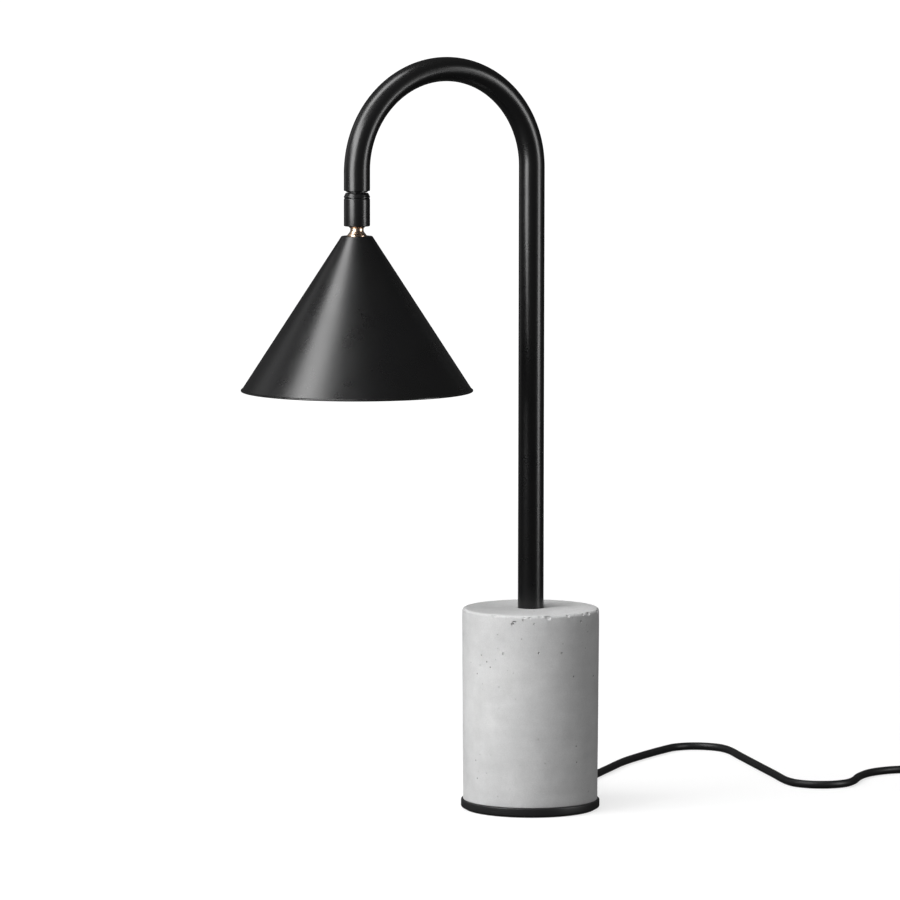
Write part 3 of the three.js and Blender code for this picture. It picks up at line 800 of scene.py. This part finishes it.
def make_stone():
    edge = 1.9
    outline = rounded(
        [
            (CAVITY_RADIUS, PLATE_TOP),
            (stone_radius(PLATE_TOP), PLATE_TOP, 0.5),
            *[(stone_radius(height), height) for height in range(10, 122, 4)],
            (stone_high.x, STONE_TOP, edge),
            (36, STONE_TOP),
            (SOCKET_RADIUS, STONE_TOP, 0.35),
            (SOCKET_RADIUS, SOCKET_FLOOR),
            (NIPPLE_BORE, SOCKET_FLOOR),
            (NIPPLE_BORE, CAVITY_TOP),
            (CAVITY_RADIUS, CAVITY_TOP),
        ],
        closed=True,
        steps=6,
    )
    stone = lathe("cast_base", outline, CONCRETE, segments=224, sharp=50)
    weathered(stone)

    channel = [(0, 20), (5, 20), (5, 40.6), (6.8, 40.6), (6.8, 50), (0, 50)]
    cut(stone, turned_on(along_gland(), channel, "hole", CONCRETE), 50)
    bore = [(0, PLATE_TOP - 1), (3.7, PLATE_TOP - 1), (3.7, 18.3), (0, 18.3)]
    drill(stone, bore, SCREW_PLACES, CONCRETE)

    draw = random.Random(11)
    shapes = []
    for angle, height, radius in AIR_HOLES:
        stretch = (0.9, 1, draw.uniform(0.9, 1.35))
        shapes.append(air_hole(FRONT + angle, height, radius, stretch, height, 0.25))
    for number in range(70):
        angle = draw.uniform(80, 280)
        height = PLATE_TOP + (STONE_TOP - PLATE_TOP) * draw.uniform(0.06, 0.97) ** 0.7
        radius = draw.uniform(0.25, 0.42) + 0.55 * draw.random() ** 5
        stretch = (0.8, 1, draw.uniform(0.8, 1.3))
        shapes.append(air_hole(FRONT + angle, height, radius, stretch, number, 0.3))
    for number in range(26):
        angle, radius = draw.uniform(0, TURN), draw.uniform(12, 38)
        size = draw.uniform(0.25, 0.5)
        place = Matrix.Translation((radius * math.cos(angle), radius * math.sin(angle), STONE_TOP - 0.1))
        shapes.append((blob(size, (1, 1, 0.9), 500 + number, 0.3), place))
    cut(stone, cutters("air_holes", shapes), 50, True)

    chips = [(FRONT + angle, size, below) for angle, size, below in RIM_CHIPS]
    for _ in range(20):
        chips.append((draw.uniform(FRONT + 75, FRONT + 285), draw.uniform(0.7, 2.0), draw.uniform(0.2, 1)))
    shapes = []
    for number, (angle, size, below) in enumerate(chips):
        stretch = (0.62, draw.uniform(0.9, 1.4), draw.uniform(0.55, 0.9))
        tip = Matrix.Rotation(draw.uniform(-0.5, 0.5), 4, "X")
        place = on_stone(angle, STONE_TOP - below - 0.3, 0.35) @ tip
        shapes.append((blob(size, stretch, 900 + number, 0.5), place))
    cut(stone, cutters("rim_chips", shapes), 50, True)
    finish_piece(stone, "stand", "concrete", "concrete_base")


def ribbed_relief(wide, narrow, start, length, ribs, nose=0.5):
    """Outline of a tapered strain relief with shallow rings cut round it, from start along its axis."""
    points = [(0, start), (wide, start, 0.3)]
    pitch = (length - 2.5) / ribs
    for rib in range(ribs):
        low = start + 1.2 + rib * pitch
        shoulder = wide + (narrow - wide) * (low - start) / length
        points += [
            (shoulder, low, 0.12),
            (shoulder - 0.55, low + 0.25, 0.12),
            (shoulder - 0.58, low + 0.42 * pitch, 0.12),
            (shoulder - 0.08, low + 0.42 * pitch + 0.25, 0.12),
        ]
    points += [(narrow, start + length, nose), (0, start + length)]
    return rounded(points, steps=3)


def make_gland():
    outline = [(0, 26), (4.7, 26), (4.7, 40.8), (6.5, 40.8, 0.2), (6.5, 43.4, 0.5)]
    tail = ribbed_relief(4.6, 3.2, 43.6, GLAND_TIP - 43.6, 7)
    profile = rounded(outline) + tail[1:]
    gland = turned_on(along_gland(), profile, "lead_gland", RUBBER)
    finish_piece(gland, "stand", "black_rubber", "cord_gland")
    return gland


make_pad()
make_plate()
make_stone()
gland = make_gland()


# ---- Stem ----

ARCH_RADIUS = -LEG_X / 2
ARCH_SPRING = tube_high.z - ARCH_RADIUS - TUBE_RADIUS
LEG_END = end_high.z - 10
TUBE_WALL = 1.2


def make_stem():
    """The tube: an outer and an inner skin swept up, over and down, joined at both ends."""
    oval = 0.08  # the bend draws the section in by this share of its depth, most towards the far side
    path = [((0, SOCKET_FLOOR), 0), ((0, ARCH_SPRING), 0)]
    arc_steps = 96
    for k in range(1, arc_steps + 1):
        turn = math.pi * k / arc_steps
        at = (-ARCH_RADIUS + ARCH_RADIUS * math.cos(turn), ARCH_SPRING + ARCH_RADIUS * math.sin(turn))
        path.append((at, turn))
    end = 0.3
    ends = [(path[0], TUBE_RADIUS), *[(stop, TUBE_RADIUS) for stop in path[1:]]]
    ends.append((((LEG_X, LEG_END + end), math.pi), TUBE_RADIUS))
    ends.append((((LEG_X, LEG_END), math.pi), TUBE_RADIUS - end))
    inner = TUBE_RADIUS - TUBE_WALL
    ends.append((((LEG_X, LEG_END), math.pi), inner))
    ends += [(stop, inner) for stop in reversed(path)]
    segments = 80
    vertices, faces = [], []
    for ((x, z), turn), radius in ends:
        across = (math.cos(turn), math.sin(turn))
        squeeze = oval * math.sin(turn) ** 0.8 * (0.85 - 0.25 * math.cos(turn)) if 0 < turn < math.pi else 0
        for k in range(segments):
            angle = TURN * k / segments
            out = radius * math.cos(angle) * (1 - squeeze)
            side = radius * math.sin(angle) * (1 + squeeze / 2)
            vertices.append((x + across[0] * out, side, z + across[1] * out))
    for ring in range(len(ends)):
        a, b = ring * segments, (ring + 1) % len(ends) * segments
        for k in range(segments):
            n = (k + 1) % segments
            faces.append((a + k, a + n, b + n, b + k))
    tube = new_object("arched_tube", vertices, faces, PAINT, 30)
    finish_piece(tube, "stand", "black_metal", "stem_tube")


make_stem()


# ---- Joint ----

BALL_HEIGHT = 370.2
BALL_RADIUS = 6.3
BALL_SEAT = 6.5
SPIGOT_RADIUS = 4
SPIGOT_HOLE = 2.4
SPIGOT_BOTTOM = end_low.z
COLLAR_TOP = collar_high.z
COLLAR_BOTTOM = sleeve_high.z + 0.3


def leg_lathe(name, outline, material, segments=96, sharp=35):
    return lathe(name, outline, material, (LEG_X, 0), segments, sharp)


def make_end_plug():
    radius = end_high.x - LEG_X
    outline = rounded(
        [
            (SPIGOT_HOLE, SPIGOT_BOTTOM),
            (SPIGOT_RADIUS, SPIGOT_BOTTOM, 0.2),
            (SPIGOT_RADIUS, SPIGOT_BOTTOM + 1, 0.05),
            (SPIGOT_RADIUS - 0.6, SPIGOT_BOTTOM + 1, 0.05),
            (SPIGOT_RADIUS - 0.6, SPIGOT_BOTTOM + 2, 0.05),
            (SPIGOT_RADIUS, SPIGOT_BOTTOM + 2, 0.05),
            (SPIGOT_RADIUS, COLLAR_TOP + 0.1, 0.1),
            (radius, COLLAR_TOP + 0.1, 0.15),
            (radius, end_high.z, 0.3),
            (SPIGOT_HOLE, end_high.z),
        ],
        closed=True,
    )
    finish_piece(leg_lathe("turned_end", outline, PAINT), "stand", "black_metal", "leg_end_plug")


def make_collar():
    """The turning ring: two bright chamfers with a fine line between them, and a boss in the sleeve."""
    boss, hollow, top = TUBE_RADIUS - 1.2, 5.9, COLLAR_TOP - 0.4
    outline = rounded(
        [
            (hollow, collar_low.z),
            (boss, collar_low.z, 0.15),
            (boss, COLLAR_BOTTOM),
            (TUBE_RADIUS - 0.15, COLLAR_BOTTOM, 0.15),
            (TUBE_RADIUS, COLLAR_BOTTOM + 0.4, 0.2),
            (TUBE_RADIUS, top - 2.1, 0.2),
            (TUBE_RADIUS - 0.35, top - 1.5),
            (TUBE_RADIUS - 0.42, top - 1.5),
            (TUBE_RADIUS - 0.42, top - 1.3),
            (TUBE_RADIUS - 0.35, top - 1.3),
            (TUBE_RADIUS - 1.1, top, 0.15),
            (SPIGOT_RADIUS + 0.2, top),
            (SPIGOT_RADIUS + 0.2, SPIGOT_BOTTOM + 2.3),
            (hollow, SPIGOT_BOTTOM + 2.3),
        ],
        closed=True,
        steps=5,
    )
    collar = leg_lathe("swivel_ring", outline, PAINT, sharp=50)
    finish_piece(collar, "swivel", "black_metal", "swivel_collar")


def make_sleeve():
    bore = 6.9
    outline = [(bore, sleeve_high.z), (bore, BALL_HEIGHT + 1)]
    outline += arc((0, BALL_HEIGHT), BALL_SEAT, 0, -22.6, 6)
    mouth = [
        (6.6, sleeve_low.z + 0.3),
        (6.75, sleeve_low.z, 0.1),
        (TUBE_RADIUS, sleeve_low.z, 0.6),
        (TUBE_RADIUS, sleeve_high.z - 0.5, 0.3),
        (TUBE_RADIUS - 0.28, sleeve_high.z, 0.1),
        (bore, sleeve_high.z),
    ]
    outline += rounded(mouth, steps=5)[:-1]
    sleeve = leg_lathe("ball_sleeve", outline, PAINT, sharp=50)
    finish_piece(sleeve, "swivel", "black_metal", "joint_sleeve")


def make_stud():
    """Ball, waisted neck and a stepped foot that sits on the shade, drilled through for the wires."""
    hole, shank, waist, foot = 2, 3.95, 4.1, 6.05
    ball_part = arc((0, BALL_HEIGHT), BALL_RADIUS, -49, 71, 24)
    neck = rounded(
        [
            (hole, stud_low.z),
            (shank, stud_low.z, 0.3),
            (shank, SHADE_TOP),
            (foot, SHADE_TOP, 0.1),
            (foot, SHADE_TOP + 0.4, 0.2),
            (5.05, SHADE_TOP + 1.7, 0.1),
            (4.85, SHADE_TOP + 1.75, 0.1),
            (waist, SHADE_TOP + 3.2, 0.7),
            (waist, SHADE_TOP + 4.0, 0.5),
            ball_part[0],
        ],
        steps=6,
    )
    outline = neck + ball_part[1:] + [(hole, BALL_HEIGHT + 5.96)]
    stud = leg_lathe("ball_and_neck", outline, BRASS, 128, 40)
    finish_piece(stud, "stud", "brass", "ball_stud")


make_end_plug()
make_collar()
make_sleeve()
make_stud()


# ---- Head ----

SHADE_TOP_RADIUS = 9.45
SHADE_WALL = 1


def make_shade():
    """A spun cone with a flat top and a small hem turned in at the rim, lined in matt white."""
    rim = shade_high.x - LEG_X
    drop = SHADE_TOP - SHADE_RIM
    slope = math.atan2(rim - SHADE_TOP_RADIUS, drop)
    across = SHADE_WALL / math.cos(slope)
    top_under = SHADE_TOP - 1.2
    hole = 4.2
    hem = 1.25

    def cone(below):
        return SHADE_TOP_RADIUS + (rim - SHADE_TOP_RADIUS) * below / drop

    outside = rounded(
        [
            (hole, SHADE_TOP, 0.1),
            (SHADE_TOP_RADIUS, SHADE_TOP, 0.7),
            (cone(drop - hem) - 0.1, SHADE_RIM + hem, 0.1),
            (cone(drop - hem) + 0.1, SHADE_RIM + hem, 0.1),
            (rim - 0.05, SHADE_RIM + 0.75, 0.45),
            (rim - 0.05, SHADE_RIM, 0.35),
            (rim - across - 0.35, SHADE_RIM, 0.25),
        ],
        steps=6,
    )
    inside = [
        (cone(drop - 2.5) - across, SHADE_RIM + 2.5),
        (cone(1.2) - across, top_under),
        (hole, top_under),
    ]
    shade = leg_lathe("cone_shade", outside + inside, PAINT, 224, 40)
    shade.data.materials.append(WHITE_PAINT)
    first_inner = cone(drop - 1.2) - across + 0.01
    for face in shade.data.polygons:
        middle = face.center / MM
        radius = math.hypot(middle.x - LEG_X, middle.y)
        wall = cone(SHADE_TOP - middle.z) - across * 0.5
        if SHADE_RIM + 0.6 < middle.z < SHADE_TOP - 1 and radius < min(wall, first_inner):
            face.material_index = 1
    finish_piece(shade, "head", "black_metal", "shade_shell")


def make_bulb():
    radius = bulb_high.x - LEG_X
    low, high = bulb_low.z, bulb_high.z
    dome = arc((0, low + radius * 0.92), radius * 0.92, -90, 0, 14)
    sides = [(radius, low + radius + 3), (radius, high - 5, 2), (radius - 1.6, high - 2, 1)]
    outline = dome + rounded([*sides, (radius - 1.8, high), (0, high)])
    bulb = leg_lathe("frosted_capsule", outline, FROSTED, 64)
    finish_piece(bulb, "head", "bulb_glass", "bulb_capsule")


make_shade()
make_bulb()


# ---- Switch, plug and tie on the lead ----

SWITCH_Y = (switch_low.y + switch_high.y) / 2
SWITCH_SCREWS = [(SWITCH_X, SWITCH_Y + side) for side in (-22, 22)]


def housing_half(name, split, outer):
    """Half a switch housing: a rounded slab whose outer edge is well rounded, its parting edge crisp."""
    width = switch_high.x - switch_low.x
    length = switch_high.y - switch_low.y
    low, high = sorted((split, outer))
    half = prism(name, rounded_rectangle(width, length, 7, 10), low, high, HOUSING, 40)
    work = bmesh.new()
    work.from_mesh(half.data)
    for level, size, steps in ((outer, 3.2, 6), (split, 0.25, 2)):
        edges = [e for e in work.edges if all(abs(v.co.z - level * MM) < 1e-6 for v in e.verts)]
        bmesh.ops.bevel(work, geom=edges, offset=size * MM, segments=steps, profile=0.5, affect="EDGES")
    work.to_mesh(half.data)
    work.free()
    moved(half, Matrix.Translation((SWITCH_X, SWITCH_Y, 0)))
    tidy_normals(half, 40)
    return half


def make_switch():
    split = switch_high.z
    bottom = housing_half("switch_base", split, 0)
    well = [(0, -1), (1.9, -1), (1.9, 4.2), (1.3, 4.2), (1.3, split + 1), (0, split + 1)]
    drill(bottom, well, SWITCH_SCREWS, HOUSING, 24, 40)
    finish_piece(bottom, "stand", "black_plastic", "switch_housing_bottom")

    top = housing_half("switch_cover", split, switch_top)
    window = prism("window", rounded_rectangle(11.8, 18, 1.2, 4), 9, switch_top + 1, HOUSING)
    moved(window, Matrix.Translation((SWITCH_X, SWITCH_Y, 0)))
    cut(top, window, 40)
    bore = [(0, split - 1), (1.3, split - 1), (1.3, split + 5), (0, split + 5)]
    drill(top, bore, SWITCH_SCREWS, HOUSING, 24, 40)
    finish_piece(top, "stand", "black_plastic", "switch_housing_top")

    reliefs = []
    for name, node, start, way in (
        ("switch_tail_near", "switch_relief_near", switch_high.y, -90),
        ("switch_tail_far", "switch_relief_far", switch_low.y, 90),
    ):
        turn = Matrix.Translation((SWITCH_X, start, SWITCH_MIDDLE)) @ rotation(way, "X")
        relief = turned_on(turn, ribbed_relief(4.4, 3.1, 0, 12, 4, 0.3), name, RUBBER, 48)
        reliefs.append(finish_piece(relief, "stand", "black_rubber", node))
    return [bottom, top, *reliefs]


def make_rocker():
    """The rocker leans towards its off end and dips in its middle."""
    width, half, rise, lean = 11.0, 8.5, 3.0, 7
    dip = [(half * t, rise - 1.2 * 0.5 * (1 - t * t)) for t in (k / 6 for k in range(6, -7, -1))]
    outline = rounded([(-half, 0.6, 0.3), (-3, -1.6), (3, -1.6), (half, 0.6, 0.3)], True) + dip
    vertices = [(side * width / 2, y, z) for side in (-1, 1) for y, z in outline]
    rocker = new_object("rocker_cap", vertices, drawn_faces(len(outline)), ROCKER_PLASTIC, 30)
    bevel(rocker, 0.45, 3, 45)
    moved(rocker, Matrix.Translation(joint_place("switch_rock")) @ rotation(lean, "X"))
    return finish_piece(rocker, "rocker", "black_plastic", "switch_rocker")


def make_tie():
    """A strap of hook-and-loop tape round one side of the coil, its end lapped over itself."""
    inner = COIL_INNER + 0.9
    outer = (coil_high.x - coil_low.x) / 2 - 2.6
    width, wall, low = 10.0, 0.8, 0.1
    top = coil_high.z + 0.2
    middle, across = (inner + outer) / 2, outer - inner
    height = top + 0.1 - low

    def section(grow):
        return rounded_rectangle(across + 2 * grow, height + 2 * grow, 4 + grow, 8)

    skins = [[(middle + p[0], low + 0.7 + height / 2 + p[1]) for p in section(grow)] for grow in (0, wall)]
    count = len(skins[0])
    vertices = [(x, side * width / 2, z) for skin in skins for side in (-1, 1) for x, z in skin]
    faces = []
    for k in range(count):
        n = (k + 1) % count
        a, b, c, d = k, count + k, 2 * count + k, 3 * count + k
        e, f, g, h = n, count + n, 2 * count + n, 3 * count + n
        faces += [(a, b, f, e), (c, g, h, d), (a, e, g, c), (b, d, h, f)]
    tie = new_object("strap_tie", vertices, faces, STRAP, 40)
    moved(tie, Matrix.Translation((COIL_CENTRE.x, COIL_CENTRE.y, 0)) @ rotation(150, "Z"))
    bevel(tie, 0.2, 2, 50)
    return finish_piece(tie, "stand", "black_rubber", "coil_tie")


def make_plug():
    """A flat two-pin plug with a waisted grip, finger ribs and sleeved pins."""
    front, back = plug_low.x, plug_high.x
    half_width, half_height = (plug_high.y - plug_low.y) / 2, (plug_high.z - plug_low.z) / 2
    outline = rounded(
        [
            (front, -half_width + 3, 2),
            (front + 22, -half_width, 5),
            (back - 9, -half_width + 2, 4),
            (back, -5, 3),
            (back, 5, 3),
            (back - 9, half_width - 2, 4),
            (front + 22, half_width, 5),
            (front, half_width - 3, 2),
        ],
        True,
        6,
    )
    body = prism("plug_shell", outline, -half_height, half_height, HOUSING, 40)
    bevel(body, 2.2, 5, 60)
    for height in (-half_height, half_height):
        for rib in range(5):
            mark = rounded_rectangle(1.2, 15 - rib, 0.6, 4)
            groove = prism("groove", mark, height - 0.5, height + 0.5, HOUSING)
            moved(groove, Matrix.Translation((back - 12 - 2.6 * rib, 0, 0)))
            cut(body, groove, 40)
    moved(body, Matrix.Translation((0, PLUG_Y, PLUG_MIDDLE)))
    finish_piece(body, "stand", "black_plastic", "plug_body")

    turn = Matrix.Translation((back, PLUG_Y, PLUG_MIDDLE)) @ rotation(90, "Y")
    tail = turned_on(turn, ribbed_relief(4.6, 3.1, 0, PLUG_NEAR - back, 6, 0.3), "plug_tail", RUBBER, 48)
    finish_piece(tail, "stand", "black_rubber", "plug_relief")

    pins = []
    for number in (1, 2):
        low, high = box_mm(f"plug_pin_{number}")
        middle = (low + high) / 2
        length = high.x - low.x
        sleeve = [(0, 0), (1.9, 0), (1.9, 9.9, 0.1)]
        outline = rounded([*sleeve, (2, 10, 0.1), (2, length, 1.4), (0, length)], steps=5)
        turn = Matrix.Translation((high.x, middle.y, PLUG_MIDDLE)) @ rotation(-90, "Y")
        pin = turned_on(turn, outline, f"pin_{number}", NICKEL, 40)
        pin.data.materials.append(HOUSING)
        for face in pin.data.polygons:
            if face.center.x / MM > high.x - 9.95:
                face.material_index = 1
        pins.append(finish_piece(pin, "stand", "zinc_steel", f"plug_pin_{number}"))
    return [body, tail, *pins]


switch_pieces = make_switch()
rocker = make_rocker()
tie = make_tie()
plug_pieces = make_plug()


# ---- Carried-over CAD nodes: the pieces held inside ----

dress(ZINC, "plate_screw_1", "plate_screw_2", "plate_screw_3", width=0.25)
dress(RAW_BRASS, "plate_insert_1", "plate_insert_2", "plate_insert_3", width=0.2)
dress(ZINC, "tube_foot_bush", "stem_nipple", "stem_washer", "stem_nut", width=0.3)
dress(ZINC, "swivel_clip", "spring_washer", width=0.1)
dress(NYLON, "wiring_sleeve", "holder_lead")
dress(PVC, "cord_inner_end", width=0.15)
dress(CERAMIC, "terminal_block", width=0.6, segments=3)
dress(NYLON, "friction_cup", width=0.1)
dress(ZINC, "shade_washer", "holder_bracket", "holder_nut", width=0.25)
dress(BRASS, "shade_ring_nut", width=0.35)
dress(CERAMIC, "lampholder", width=0.5, segments=3)
dress(CERAMIC, "bulb_base", width=0.5, segments=3)
dress(ZINC, "holder_screw_1", "holder_screw_2", width=0.2)
dress(NICKEL, "bulb_pin_1", "bulb_pin_2", width=0.15)
dress(ZINC, "switch_screw_1", "switch_screw_2", width=0.15)

# ---- Floor and light ----


def glowing_floor():
    """Near-white floor with painted light: an emission glow, dimmer near the lamp and brighter away from it,
    standing in for a lit paper sweep.
    """
    s = Shader("glowing_floor", (0.30, 0.30, 0.30), 0.9, specular=0.0)
    s.color(s.ramp(s.noise(1.2, 3), (0.3, (0.295,) * 3), (0.7, (0.305,) * 3)))
    distance = s.node("ShaderNodeVectorMath", operation="LENGTH")
    s.link(s.place, distance.inputs[0])
    # Painted light: the glow runs from 0.72 near the lamp up to 1.0 at 2.2 metres out.
    glow = s.remap(distance.outputs["Value"], 0.3, 2.2, 0.72, 1.0)
    s.surface.inputs["Emission Color"].default_value = (1, 1, 1, 1)
    s.link(glow, s.surface.inputs["Emission Strength"])
    return s.material


def make_floor():
    size = 40000
    corners = [(-size, -size, 0), (size, -size, 0), (size, size, 0), (-size, size, 0)]
    floor = new_object("floor", [Vector(c) for c in corners], [(0, 1, 2, 3)], glowing_floor())
    floor.location.z = -0.0001
    floor.visible_glossy = False
    floor.visible_diffuse = False


def make_softbox(name, azimuth, distance, width, low, high, radiance, lean=0.0, lights="all"):
    """A panel beside the lamp at an azimuth right of the camera's view, from low to high, in metres.

    It faces the stem and leans over it by an angle in degrees. It can be set to light only the "matt" or
    only the "shiny" part of each surface.
    """
    _, _, back = view_axes(CAMERA_AZIMUTH + azimuth, 0)
    data = bpy.data.lights.new(name, "AREA")
    data.shape = "RECTANGLE"
    data.size = width
    data.size_y = (high - low) / math.cos(math.radians(lean))
    data.energy = radiance * math.pi * data.size * data.size_y
    light = bpy.data.objects.new(name, data)
    light.location = back * distance + Vector((0, 0, (low + high) / 2))
    turn = back.to_track_quat("Z", "Y").to_matrix().to_4x4()
    light.rotation_euler = (turn @ rotation(lean, "X").inverted()).to_euler()
    light.visible_camera = False
    light.visible_diffuse = lights != "shiny"
    light.visible_glossy = lights != "matt"
    scene.collection.objects.link(light)


ROOM_LEVEL = 0.05
BOUNCE_LEVEL = 0.26


def make_world():
    """White to the camera, a soft bounce to matt surfaces and a dim room to shiny ones."""
    world = bpy.data.worlds.new("studio")
    world.use_nodes = True
    tree = world.node_tree
    background = tree.nodes["Background"]
    rays = tree.nodes.new("ShaderNodeLightPath")
    level = ROOM_LEVEL
    for ray, strength in (("Is Diffuse Ray", BOUNCE_LEVEL), ("Is Camera Ray", 1.0)):
        mix = tree.nodes.new("ShaderNodeMix")
        mix.inputs[3].default_value = strength
        if isinstance(level, float):
            mix.inputs[2].default_value = level
        else:
            tree.links.new(level, mix.inputs[2])
        tree.links.new(rays.outputs[ray], mix.inputs[0])
        level = mix.outputs[0]
    tree.links.new(level, background.inputs["Strength"])
    background.inputs["Color"].default_value = (1, 1, 1, 1)
    scene.world = world


make_floor()
make_world()
make_softbox("key_softbox", -48, 0.6, 0.30, 0.285, 0.75, 9.0)
make_softbox("top_softbox", -71, 0.8, 0.46, 0.85, 1.85, 8.0, lean=50)
make_softbox("side_fill", -120, 1.6, 0.6, 0.1, 1.3, 0.4)
make_softbox("left_fill", -75, 1.6, 0.6, 0.02, 0.8, 1.8, lights="matt")
make_softbox("front_fill", -20, 0.9, 0.7, 1.3, 1.75, 5.8, lean=58, lights="matt")
make_softbox("right_strip", 70, 1.2, 0.36, 0.07, 0.9, 7.0, lights="shiny")
scene.view_settings.view_transform = "Standard"
